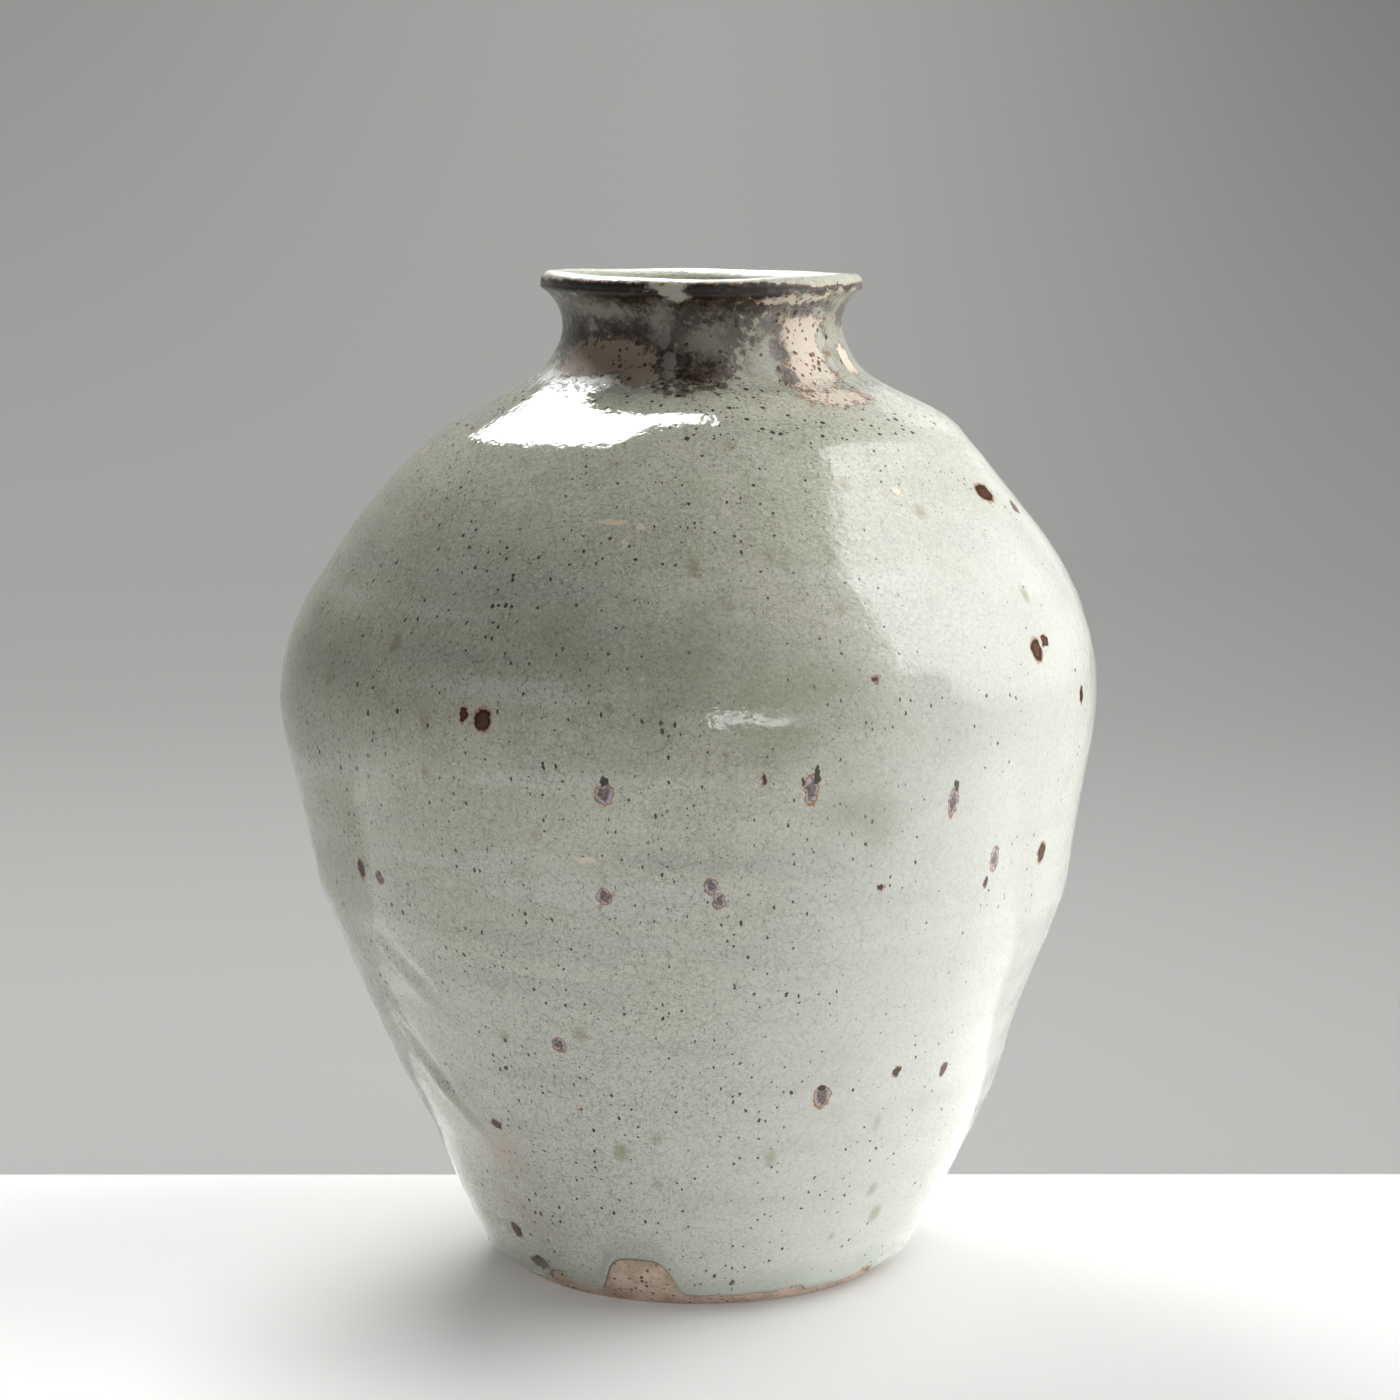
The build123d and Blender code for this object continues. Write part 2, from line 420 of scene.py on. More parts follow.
# %% Where the glaze ends above the foot
EDGE = 4.6
EDGE_ROW = 1282  # the pixel row along which the edge is seen in front
WALL_NEAR_EDGE = 88  # mm from the axis
BARE = [  # pixel column, half width in mm, how far the edge is drawn up in mm
    (637, 14.0, 17.5), (557, 5.5, 5.5), (795, 6.0, 2.6), (866, 6.5, 4.5),
]
edge_waves = [(n, dice.uniform(0, 2 * math.pi), 1.1 / n ** 0.35) for n in (2, 3, 5, 8, 13, 21, 34)]
edge = EDGE + sum(0.55 * deep * np.cos(n * theta + start) for n, start, deep in edge_waves)
back_bare = [(dice.uniform(0.3, math.pi - 0.3), dice.uniform(4, 11), dice.uniform(2, 9)) for _ in range(5)]
places = [(math.atan2(*on_jar(px, EDGE_ROW)[1::-1]), half, rise) for px, half, rise in BARE] + back_bare
for middle, half, rise in places:
    edge = edge + rise * np.exp(-np.abs(round_from(middle, theta) * WALL_NEAR_EDGE / half) ** 5)
edge = np.clip(edge, 2.2, None)
print("glaze edge height in mm, least and most:", edge.min().round(1), edge.max().round(1))

# %% Glaze skin
ROLL_WIDTH = 2.6
ROLL_DEPTH = 0.75
ROLL_AT = 3.2  # mm above the edge
ROLL_SPREAD = 2.4
SUNK = 0.6  # how deep the back of the coat lies in the clay
THROAT_END = 357  # how far down the throat the neck's coat reaches
FOOT_ZONE = 36.0
DRIPS = [  # pixel x, y of a drip on the neck, its half width and half height in mm, how proud it stands
    (668, 375, 2.0, 1.7, 1.1), (667, 357, 1.9, 5.5, 0.35), (845, 366, 1.6, 9.0, 0.3),
    (828, 360, 1.5, 10.0, 0.25),
]
share = np.linspace(0, 1, 30) ** 1.6
foot_z = edge[None, :] + (FOOT_ZONE - edge)[None, :] * share[:, None]
neck_z = np.concatenate([np.arange(331, 352, 0.9), np.linspace(353, LIP_ROOT, 32)])  # closer rows at its root
body_z = np.concatenate([np.arange(38.4, 330, 2.5), neck_z])
height = np.concatenate([foot_z, all_round(body_z)])
above = height - edge
rounded = np.sqrt(1 - (1 - np.clip(above / ROLL_WIDTH, 0, 1)) ** 2)
thickness = GLAZE * rounded + ROLL_DEPTH * np.exp(-((above - ROLL_AT) / ROLL_SPREAD) ** 2) * rounded
slope = np.gradient(radius_at(height[:, 0])) / np.gradient(height[:, 0])
slope = np.clip(slope, -STEEPEST, STEEPEST)
skin_r = clay_radius(height) + thickness * np.sqrt(1 + slope * slope)[:, None]
for px, py, wide, tall, proud in DRIPS:
    home, across = from_pixel(px, py, theta)
    skin_r = skin_r + proud * np.exp(-(across[None, :] / wide) ** 2 - ((height - home) / tall) ** 2)
LIP_ROWS = 22
LIP_TURN = (0.08, math.pi)
lip_r, lip_z = lip_arc(0, LIP_ROWS, LIP_TURN)
throat_z = np.linspace(LIP_ROOT - 1.5, THROAT_END, 26)
throat_r = throat_radius(throat_z, GLAZE + WALL + GLAZE)
back_z = np.concatenate([np.linspace(360, 392, 8), np.linspace(390, 12, 44)])
back_r = np.concatenate([inside_radius(back_z[:8], WALL + GLAZE - SUNK), clay_radius(back_z[8:]) - SUNK])
print("rows:", len(height), len(lip_r), len(throat_z), len(back_z))
tail_r = all_round(np.concatenate([lip_r, throat_r, back_r]))
tail_z = all_round(np.concatenate([lip_z, throat_z, back_z]))
tail_z[-1] = edge + 0.8
tail_r[-1] = clay_radius(edge + 0.8) - SUNK
rows_r = np.concatenate([skin_r, tail_r])
rows_z = np.concatenate([height, tail_z])
hidden = len(back_z)
along = 0.97 * lengths_along(rows_r[:-hidden, 0], rows_z[:-hidden, 0])
along = np.concatenate([along, np.linspace(0.972, 0.998, hidden)])
glaze, used = turned("outer_glaze", bend(rows_r, rows_z), along)

# Two values ride on the mesh for the finish: height above the glaze's edge in mm, and 1 outside, 0 inside.
FAR_ABOVE = 400.0
over_lip = np.clip(1 - (np.linspace(*LIP_TURN, LIP_ROWS) - 0.6) / 0.6, 0, 1)
outside = np.concatenate([np.ones(len(height)), over_lip, np.zeros(len(throat_z) + len(back_z))])
outside = all_round(outside)
above = np.concatenate([above, np.full(tail_r.shape, FAR_ABOVE)])
for name, values in [("above_edge", above), ("outside", outside)]:
    glaze.data.attributes.new(name, "FLOAT", "POINT").data.foreach_set("value", values.ravel()[used])
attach(glaze, "root")
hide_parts("body_glaze", "neck_glaze")

# %% [markdown]
# ## The glaze inside
# The same glaze was poured in and swilled round so the jar holds water. Only its top shows, in the mouth,
# but it is a whole coat from the floor to the neck.

# %% Liner
LINER = 0.8
LINER_TOP = 362
BITE = 0.1  # mm by which its back bites into the clay
top_r, top_z = section_inside(GLAZE + WALL + LINER, FLOOR + LINER, 70)
low_r, low_z = section_inside(GLAZE + WALL - BITE, FLOOR - BITE, 30)
reach = top_z < LINER_TOP
reach_low = low_z < LINER_TOP - 2
liner_r = np.concatenate([low_r[reach_low][::-1], top_r[reach]])
liner_z = np.concatenate([low_z[reach_low][::-1], top_z[reach]])
liner_places = bend(all_round(liner_r), all_round(liner_z))
liner, _ = turned("inner_glaze", liner_places, lengths_along(liner_r, liner_z), True, True)
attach(liner, "root")
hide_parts("liner_glaze")

# %% [markdown]
# ## Colours and nodes
# Colours are written as on a screen and turned to linear light once. One small function adds a node,
# sets it and links it, and short ones use it for arithmetic. A finish is then a list of coats, as a
# potter would name them: a pattern, the values between which it sets in, its strength and its tone.

# %% Helpers for materials
def colour(text):
    """A screen colour such as 8E947C as linear light."""
    parts = [int(text[i:i + 2], 16) / 255 for i in (0, 2, 4)]
    return [c / 12.92 if c <= 0.04045 else ((c + 0.055) / 1.055) ** 2.4 for c in parts] + [1.0]


def add(tree, kind, links=None, out=0, **settings):
    """Adds a node. Each link is a socket to join or a value to set. Gives back one of its outputs."""
    made = tree.nodes.new(kind)
    for name, value in settings.items():
        setattr(made, name, value)
    for socket, source in (links or {}).items():
        if isinstance(source, bpy.types.NodeSocket):
            tree.links.new(source, made.inputs[socket])
        else:
            made.inputs[socket].default_value = source
    return made.outputs[out] if len(made.outputs) else None


def calc(tree, operation, *values):
    """Arithmetic on values or sockets: ADD, MULTIPLY, MAXIMUM and so on."""
    return add(tree, "ShaderNodeMath", dict(enumerate(values)), operation=operation)


def vector_calc(tree, operation, *values):
    """The same with places in space. A length and a dot product are plain numbers."""
    out = "Value" if operation in ("LENGTH", "DOT_PRODUCT") else "Vector"
    return add(tree, "ShaderNodeVectorMath", dict(enumerate(values)), out, operation=operation)


def remap(tree, value, start=0.0, full=1.0, least=0.0, most=1.0):
    """Runs from least to most while the value runs from start to full."""
    return add(tree, "ShaderNodeMapRange", {0: value, 1: start, 2: full, 3: least, 4: most})


def new_material(name, clouds=()):
    """A bare material, the place its patterns are drawn by, and cloudy patterns of given sizes, by name."""
    material = bpy.data.materials.new(name)
    material.use_nodes = True
    tree = material.node_tree
    tree.nodes.clear()
    point = add(tree, "ShaderNodeTexCoord", out="Object")
    cloud = {}
    for pattern, wide, detail, rough in clouds:  # the width of a patch is in mm
        links = {"Vector": point, "Scale": 1 / (wide * MM), "Detail": detail, "Roughness": rough}
        cloud[pattern] = add(tree, "ShaderNodeTexNoise", links)
    return material, tree, point, cloud


def coats(tree, under, rows):
    """Lays coats over a colour. A row is a pattern, where it sets in and is full, its strength and tone."""
    for pattern, start, full, strength, tone in rows:
        mask = add(tree, "ShaderNodeMapRange", {0: pattern, 1: start, 2: full, 4: strength},
                   interpolation_type="SMOOTHSTEP")
        over = colour(tone) if isinstance(tone, str) else tone
        under = add(tree, "ShaderNodeMix", {0: mask, 6: under, 7: over}, 2, data_type="RGBA")
    return under


def ceramic(tree, tint, rough, height=None, deep=MM):
    """Ends a material as fired ware. Its relief has a height of 1 where it stands out by `deep` metres."""
    links = {"Base Color": tint, "Roughness": rough, "IOR": 1.5}
    if height is not None:
        links["Normal"] = add(tree, "ShaderNodeBump", {"Strength": 1.0, "Distance": deep, "Height": height})
    add(tree, "ShaderNodeOutputMaterial", {"Surface": add(tree, "ShaderNodeBsdfPrincipled", links)})


def frayed_by(tree, point, size_mm, reach_mm):
    """The place, pushed about by noise of this size, so that what is drawn there gets an uneven edge."""
    links = {"Vector": point, "Scale": 1 / (size_mm * MM), "Detail": 3}
    push = add(tree, "ShaderNodeTexNoise", links, "Color")
    push = vector_calc(tree, "SUBTRACT", push, (0.5, 0.5, 0.5))
    return vector_calc(tree, "MULTIPLY_ADD", push, (reach_mm * MM,) * 3, point)


def nearest(tree, point, spots):
    """How many radii away the nearest spot is. A spot is a place in mm, a width and a height in mm."""
    best = None
    for place, wide, tall in spots:
        scale = np.array([2 / wide, 2 / wide, 2 / tall]) / MM
        moved = vector_calc(tree, "MULTIPLY_ADD", point, scale, -np.array(place) * MM * scale)
        away = vector_calc(tree, "LENGTH", moved)
        if best is not None:
            away = calc(tree, "MINIMUM", best, away)
        best = away
    return best


def grains(tree, point, cell_mm, share, size):
    """How deep inside a grain a place lies. A share of the cells holds one, up to a size in cells."""
    away = add(tree, "ShaderNodeTexVoronoi", {"Vector": point, "Scale": 1 / (cell_mm * MM)}, "Distance")
    chance = add(tree, "ShaderNodeSeparateColor", {0: away.node.outputs["Color"]})
    radius = remap(tree, chance, 1 - share, 1.0, most=size)
    return calc(tree, "SUBTRACT", radius, away)


print("celadon in linear light:", [round(c, 3) for c in colour("A6A797")[:3]])

# %% [markdown]
# ## Marks that the kiln left
# Iron in the clay melts through the glaze as dark dots and as blooms with a rusty rim, a lilac ring and a
# brown heart. Glaze pools green where it is thick, blushes pink where it is thin, and leaves cream flakes.
# The photograph gives the pixel of each large one, and the unseen side gets as many by chance.

# %% Marks placed by the photograph (pixel x, y, width, height)
GREEN_POOLS = [(318, 655, 90, 150), (690, 660, 150, 130), (790, 700, 190, 120), (860, 815, 110, 80),
               (452, 1085, 70, 110), (560, 640, 120, 90)]
PINK_FLUSH = [(500, 1146, 70, 60), (520, 1205, 60, 60)]
DARK_BLOOMS = [
    (463, 714, 9, 16), (482, 720, 17, 22), (1040, 852, 9, 22), (984, 493, 14, 19), (1014, 507, 9, 13),
    (1081, 695, 5, 18), (897, 1073, 8, 15), (944, 1069, 8, 16), (517, 1229, 10, 20), (541, 1262, 20, 14),
    (498, 1123, 10, 11), (582, 1108, 7, 7), (732, 1280, 5, 14), (361, 869, 8, 21), (379, 878, 8, 15),
    (880, 887, 9, 10), (764, 780, 5, 14), (984, 882, 5, 14), (1036, 650, 11, 25), (1044, 641, 7, 12),
]
LILAC_BLOOMS = [
    (604, 795, 17, 21), (811, 790, 13, 32), (952, 800, 10, 36), (993, 858, 9, 28), (604, 897, 16, 17),
    (711, 887, 13, 17), (719, 901, 12, 17), (560, 1044, 14, 18), (822, 1097, 17, 27), (876, 679, 9, 9),
]
IRON_TIPS = [(604, 782, 8, 9), (817, 775, 7, 20), (803, 781, 4, 11), (956, 785, 6, 14), (822, 1088, 9, 8)]
CREAM_FLAKES = [
    (624, 541, 8, 26), (612, 522, 34, 6), (640, 527, 12, 7), (642, 678, 6, 8), (425, 450, 6, 22),
    (459, 481, 4, 4), (897, 491, 8, 8), (500, 1215, 9, 8), (503, 1228, 8, 8), (585, 860, 22, 5),
]
PX_MM = 0.372  # one pixel of the photograph at the front of the belly, in mm
LEAST_FACING = 0.45  # a mark near the outline is widened no more than this allows


def seen(px, py, wide, tall):
    """A mark by its pixel and its size in pixels, widened where the wall turns away from the lens."""
    place = on_jar(px, py)
    facing = max(LEAST_FACING, -place[1] / math.hypot(place[0], place[1]))
    return place, wide * PX_MM / facing, tall * PX_MM


def at_turn(turn, z):
    """The place in mm on the outside at an angle from the right and a height."""
    reach = float(radius_at(z))
    return np.array([reach * math.cos(turn), reach * math.sin(turn), z])


BACK_MARGIN = 0.15  # radians kept free at both sides, where front and back meet
BACK_LOW = 25
BACK_HIGH = 325


def on_back(count, smallest, largest):
    """The same kinds of mark on the side that the photograph doesn't show."""
    marks = []
    for _ in range(count):
        turn = dice.uniform(BACK_MARGIN, math.pi - BACK_MARGIN)
        place = at_turn(turn, dice.uniform(BACK_LOW, BACK_HIGH))
        wide = dice.uniform(smallest, largest)
        marks.append((place, wide, wide * dice.uniform(1, 2)))
    return marks


front = {"pools": GREEN_POOLS, "flushes": PINK_FLUSH, "dark": DARK_BLOOMS, "lilac": LILAC_BLOOMS,
         "flakes": CREAM_FLAKES, "tips": IRON_TIPS}
front = {kind: [seen(*row) for row in rows] for kind, rows in front.items()}
back = {"pools": on_back(6, 25, 60), "flushes": on_back(2, 20, 30), "dark": on_back(14, 1.8, 5),
        "lilac": on_back(10, 3, 6), "flakes": on_back(5, 1.5, 3)}
tipped = back["lilac"][::2]
back["tips"] = [(place + [0, 0, 0.45 * tall], 0.5 * wide, 0.4 * tall) for place, wide, tall in tipped]
print("marks in front and behind:", [[len(rows) for rows in marks.values()] for marks in (front, back)])

# %% [markdown]
# ## Celadon glaze
# Celadon is a clear glass coloured by a little iron. Over grey clay it looks grey-green, paler where it is
# thin, and it is full of fine cracks and of iron specks. It is glassy, so its roughness is low and its IOR
# is that of glass. The patterns are solid, drawn by the place in space, so they have no seam anywhere.

# %% Celadon: the ground, crazing and specks
CLOUDS = [  # name, width of a patch in mm, detail, roughness
    ("broad", 75, 4, 0.55), ("mid", 14, 4, 0.6), ("patchy", 26, 3, 0.55), ("fine", 1.6, 2, 0.6),
    ("blotch", 1.3, 2, 0.6), ("swell", 7, 2, 0.5), ("peel", 3, 2, 0.5),
]
CRAZE_MM = 1.6  # cells are 1 to 2 mm wide on the jar
LONG_CRAZE_MM = 6.5
SPECK_CELL = 2.4
PAINTED_LIGHT_TOWARDS = (1, 0, -0.3)  # lighter towards the right and more so lower down: painted light for the strong lamps on the right


def glaze_ground(tree, point, cloud):
    """Grey-green glass with clouds, fine mottling, crazing and specks. Also gives back the net of cracks."""
    axes = add(tree, "ShaderNodeSeparateXYZ", {0: point}).node.outputs
    turning = vector_calc(tree, "MULTIPLY", point, (0.13, 0.13, 1))
    bands = add(tree, "ShaderNodeTexNoise", {"Vector": turning, "Scale": 1 / (15 * MM), "Detail": 3})
    ground = coats(tree, colour("BCBCAD"), [
        (cloud["broad"], 0.35, 0.65, 1.0, "B1B2A0"),
        (cloud["mid"], 0.45, 0.75, 0.55, "A3A590"),
        (cloud["mid"], 0.42, 0.25, 0.5, "C5C4B9"),
        (cloud["patchy"], 0.55, 0.75, 0.4, "A8A69F"),
        # paler towards the foot: partly a paler glaze there, partly painted light for the glow the white
        # table throws up
        (axes["Z"], 240 * MM, 60 * MM, 0.62, "CCCEC7"),
        (bands, 0.5, 0.7, 0.45, "A3A49B"),  # streaks round the jar, left by the turning wheel
        (bands, 0.46, 0.3, 0.4, "CFD0C8"),
        (cloud["fine"], 0.5, 0.72, 0.48, "87866F"),
        (cloud["fine"], 0.46, 0.3, 0.46, "D0CEC2"),
    ])
    sheared = frayed_by(tree, point, 9, 6)
    lines = []
    for cell in (CRAZE_MM, LONG_CRAZE_MM):
        lines.append(add(tree, "ShaderNodeTexVoronoi", {"Vector": sheared, "Scale": 1 / (cell * MM)},
                         feature="DISTANCE_TO_EDGE"))
    # how strongly the cracks are stained; further on it is also faded on the right as painted glare
    crack_stain_and_glare = remap(tree, cloud["patchy"], 0.32, 0.62, 0.05, 0.12)
    painted_light_side = vector_calc(tree, "DOT_PRODUCT", point, PAINTED_LIGHT_TOWARDS)
    grit = frayed_by(tree, point, 1.1, 1.7)
    upright = vector_calc(tree, "MULTIPLY", grit, (1, 1, 0.6))
    speck_size_and_glare = remap(tree, cloud["patchy"], 0.36, 0.62, 0.18, 0.36)
    # painted glare: towards the right the specks are drawn smaller and the cracks fainter, as if washed out
    # by the strong light on that side
    glare_fade = remap(tree, axes["X"], 20 * MM, 110 * MM, most=-0.09)
    speck_size_and_glare = calc(tree, "ADD", speck_size_and_glare, glare_fade)
    crack_stain_and_glare = calc(tree, "MULTIPLY_ADD", glare_fade, 0.45, crack_stain_and_glare)
    ground = coats(tree, ground, [
        (lines[0], crack_stain_and_glare, 0.0, 0.34, "5F5E4E"),
        (lines[1], 0.04, 0.0, 0.26, "5F5E4E"),
        (grains(tree, grit, 1.7, 0.75, 0.27), 0.0, 0.08, 0.72, "4A4236"),
        # painted light: the glaze is lightened towards the right and lower down, where the lamps on the right
        # fall
        (painted_light_side, -60 * MM, 55 * MM, 0.6, "CACDC8"),
        (grains(tree, upright, 14, 0.5, 0.34), 0.0, 0.22, 0.5, "827C55"),
        (grains(tree, upright, SPECK_CELL, 0.75, speck_size_and_glare), 0.0, 0.07, 0.92, "322A22"),
    ])
    return ground, lines[0]


# %% Celadon: pools, flushes and blooms
def kiln_marks(tree, point, ground, cloud, marks):
    """Lays the marks of one side of the jar over the ground."""
    drifted = frayed_by(tree, point, 30, 45)
    frayed = frayed_by(tree, point, 2.6, 3.4)
    kinds = ("dark", "lilac", "tips", "flakes")
    away = {kind: nearest(tree, frayed, marks[kind]) for kind in kinds}
    heart = coats(tree, colour("A9A5AC"), [
        (away["lilac"], 0.78, 0.5, 0.9, "6B5D55"),
        (cloud["blotch"], 0.48, 0.6, 0.75, "4E3B30"),
    ])
    return coats(tree, ground, [
        (nearest(tree, drifted, marks["pools"]), 1.4, 0.1, 0.5, "8E927A"),
        (nearest(tree, drifted, marks["flushes"]), 1.3, 0.2, 0.55, "B5A598"),
        (away["flakes"], 1.1, 0.7, 0.85, "D3C9B2"),
        (away["lilac"], 1.17, 1.02, 0.9, "985E2E"),
        (away["lilac"], 0.97, 0.86, 1.0, heart),
        (away["tips"], 1.15, 0.85, 0.95, "2C221D"),
        (away["dark"], 1.3, 1.05, 0.7, "9A6A40"),
        (away["dark"], 1.06, 0.92, 1.0, "351D12"),
        (away["dark"], 0.75, 0.45, 0.75, "5C3620"),
    ])


# %% [markdown]
# ## The dark neck
# An iron wash was brushed round the neck before glazing. It fired almost black under the lip, broke to
# rust where thin, and the glaze over it crawled into buff and cream patches and grey-green runs. Each patch
# is a cluster of soft spots whose distance is roughened by noise before it is cut, so its edge is torn.

# %% The neck's patches
NECK = {  # pixel x, y, width, height of each spot of a patch
    "iron": [(590, 326, 80, 54), (640, 322, 72, 70), (700, 318, 74, 70), (690, 368, 60, 54),
             (745, 302, 70, 26), (660, 352, 30, 40)],
    "veil": [(602, 311, 60, 13), (593, 327, 9, 12), (660, 322, 20, 50), (706, 340, 40, 26)],
    "buff": [(604, 356, 96, 34), (580, 366, 44, 24), (640, 376, 44, 20)],
    "cream": [(803, 338, 48, 62), (812, 374, 52, 46), (838, 397, 58, 18), (796, 299, 80, 10),
              (847, 362, 12, 50)],
    "slate": [(770, 326, 16, 22), (778, 350, 15, 30), (787, 376, 14, 30), (812, 309, 46, 13),
              (840, 314, 13, 26)],
    "stream": [(821, 340, 9, 26), (831, 364, 9, 28), (842, 386, 10, 24), (820, 312, 13, 10)],
    "run": [(668, 287, 40, 14), (677, 297, 20, 15)],
    "drip": [(666, 340, 13, 36), (668, 362, 13, 24), (668, 376, 17, 15)],
}
BACK_NECK = {  # angle from the right, height and width in mm
    "iron": [(0.5, 376, 26), (1.1, 372, 30), (1.8, 380, 24), (2.4, 372, 30), (2.9, 378, 22)],
    "run": [(1.45, 384, 16), (2.65, 386, 12)],
    "cream": [(0.8, 362, 20), (1.5, 360, 26), (2.2, 364, 16)],
}
TORN = {  # how torn and how soft the patch's edge is, its strength, tone of its outline, its own tone
    "iron": (2.2, 0.45, 1.0, "5B5045", None), "veil": (2.2, 0.4, 0.65, "6E685E", "8F8B7F"),
    "buff": (1.1, 0.08, 1.0, "4A3325", "978774"), "cream": (1.0, 0.08, 1.0, "8F6848", "C7BCAE"),
    "slate": (2.4, 0.3, 0.75, "7B6E66", "66625F"), "stream": (0.9, 0.1, 0.85, "6D675C", "AFAEA2"),
    "run": (0.9, 0.15, 0.9, "77736A", "B4B2A2"), "drip": (0.5, 0.14, 0.7, "3A322B", "86817A"),
}
NECK_CLOUDS = [("tear", 3.2, 6, 0.75), ("mottle", 3.6, 5, 0.72), ("wander", 7, 4, 0.65)]
neck_spots = {kind: [seen(*row) for row in rows] for kind, rows in NECK.items()}
for kind, rows in BACK_NECK.items():
    neck_spots[kind] += [(at_turn(turn, z), wide, 0.9 * wide) for turn, z, wide in rows]
print("neck spots:", {kind: len(rows) for kind, rows in neck_spots.items()})

# %% Celadon over the iron wash
BAND_LOW = 391.0
BAND_HIGH = 398.2
BAND_RISE = 2.6  # towards the right the band is thinner: its lower edge rises, and its upper edge sinks
BAND_SINK = 2.0
NECK_ROOT = 357.0
WANDER = 5  # mm up or down by which the wash and the band stray


def torn_patch(tree, under, frayed, cloud, kind, own=None):
    """Lays one patch with its outline over the neck. Also gives back how deep inside it a place lies."""
    torn, soft, strength, outline, tone = TORN[kind]
    away = nearest(tree, frayed, neck_spots[kind])
    away = calc(tree, "MULTIPLY_ADD", cloud["tear"], torn * 2, away)
    edge_at = 1 + torn
    laid = coats(tree, under, [
        (away, edge_at + 0.14 + soft, edge_at + soft, 0.85 * strength, outline),
        (away, edge_at + soft, edge_at - soft, strength, own or tone),
    ])
    return laid, remap(tree, away, edge_at + soft, edge_at - soft)


def iron_neck(tree, point, ground, cloud):
    """Lays the wash, its torn patches, the black band and the lip on the ground. Also says what is bare."""
    axes = add(tree, "ShaderNodeSeparateXYZ", {0: point}).node.outputs
    frayed = frayed_by(tree, point, 5, 7)
    grit = frayed_by(tree, point, 1.2, 1.2)
    wander = remap(tree, cloud["wander"], 0.2, 0.8, -WANDER * MM, WANDER * MM)
    ragged = calc(tree, "ADD", axes["Z"], wander)
    iron = coats(tree, colour("231913"), [
        (cloud["mottle"], 0.46, 0.56, 0.9, "483F36"),
        (cloud["mottle"], 0.58, 0.66, 0.8, "7A7366"),
        (cloud["tear"], 0.55, 0.62, 0.75, "4A2C1B"),
    ])
    wash = coats(tree, colour("9A9988"), [(cloud["mottle"], 0.44, 0.6, 0.8, "77766A")])
    neck = coats(tree, ground, [(ragged, (NECK_ROOT - 4) * MM, (NECK_ROOT + 10) * MM, 0.75, wash)])
    neck, _ = torn_patch(tree, neck, frayed, cloud, "iron", iron)
    neck, _ = torn_patch(tree, neck, frayed, cloud, "veil")
    neck, buff = torn_patch(tree, neck, frayed, cloud, "buff")
    neck, cream = torn_patch(tree, neck, frayed, cloud, "cream")
    bare = calc(tree, "MAXIMUM", buff, cream)
    rust = grains(tree, grit, 2.4, 0.65, 0.5)
    rust = calc(tree, "MULTIPLY", rust, bare)
    neck = coats(tree, neck, [(rust, 0.0, 0.1, 0.9, "774A2C")])
    for kind in ("slate", "stream"):
        neck, _ = torn_patch(tree, neck, frayed, cloud, kind)

    to_right = remap(tree, axes["X"], 25 * MM, 45 * MM)
    low = calc(tree, "MULTIPLY_ADD", to_right, -BAND_RISE * MM, ragged)
    high = calc(tree, "MULTIPLY_ADD", wander, 0.3, axes["Z"])
    high = calc(tree, "MULTIPLY_ADD", to_right, BAND_SINK * MM, high)
    rusty = remap(tree, cloud["mottle"], 0.42, 0.58, most=0.95)
    band = coats(tree, colour("120D0A"), [
        (cloud["tear"], 0.52, 0.66, 0.8, "5A3A26"),
        (to_right, 0.0, 1.0, 0.6, "4E4C4B"),
    ])
    neck = coats(tree, neck, [
        (grains(tree, grit, 3.2, 0.6, 0.4), 0.0, 0.08, 0.9, "2A211A"),
        (low, (BAND_LOW - 1.2) * MM, (BAND_LOW + 0.4) * MM, rusty, "5E4330"),
        (low, (BAND_LOW + 0.2) * MM, (BAND_LOW + 1.6) * MM, 1.0, band),
    ])
    for kind in ("run", "drip"):
        neck, _ = torn_patch(tree, neck, frayed, cloud, kind)
    lip = coats(tree, ground, [(cloud["wander"], 0.4, 0.7, 0.5, "BFBEAE")])
    neck = coats(tree, neck, [
        (high, (BAND_HIGH - 0.8) * MM, (BAND_HIGH - 0.2) * MM, rusty, "8C5730"),
        (high, (BAND_HIGH - 0.1) * MM, (BAND_HIGH + 0.5) * MM, 1.0, lip),
    ])
    outside = add(tree, "ShaderNodeAttribute", out="Fac", attribute_name="outside")
    # inside the mouth the lip's colour is painted darker further down, as shade in the throat
    inside = coats(tree, lip, [(axes["Z"], 402 * MM, 395 * MM, 0.75, "8C8C7B")])
    return coats(tree, inside, [(outside, 0.1, 0.7, 1.0, neck)]), bare


# %% [markdown]
# ## Three fields of one glaze
# The dark neck, the side towards the lens and the far side carry different marks. Each field of faces gets
# its own copy of the glaze, made by the same functions, so the ground runs on across their borders.

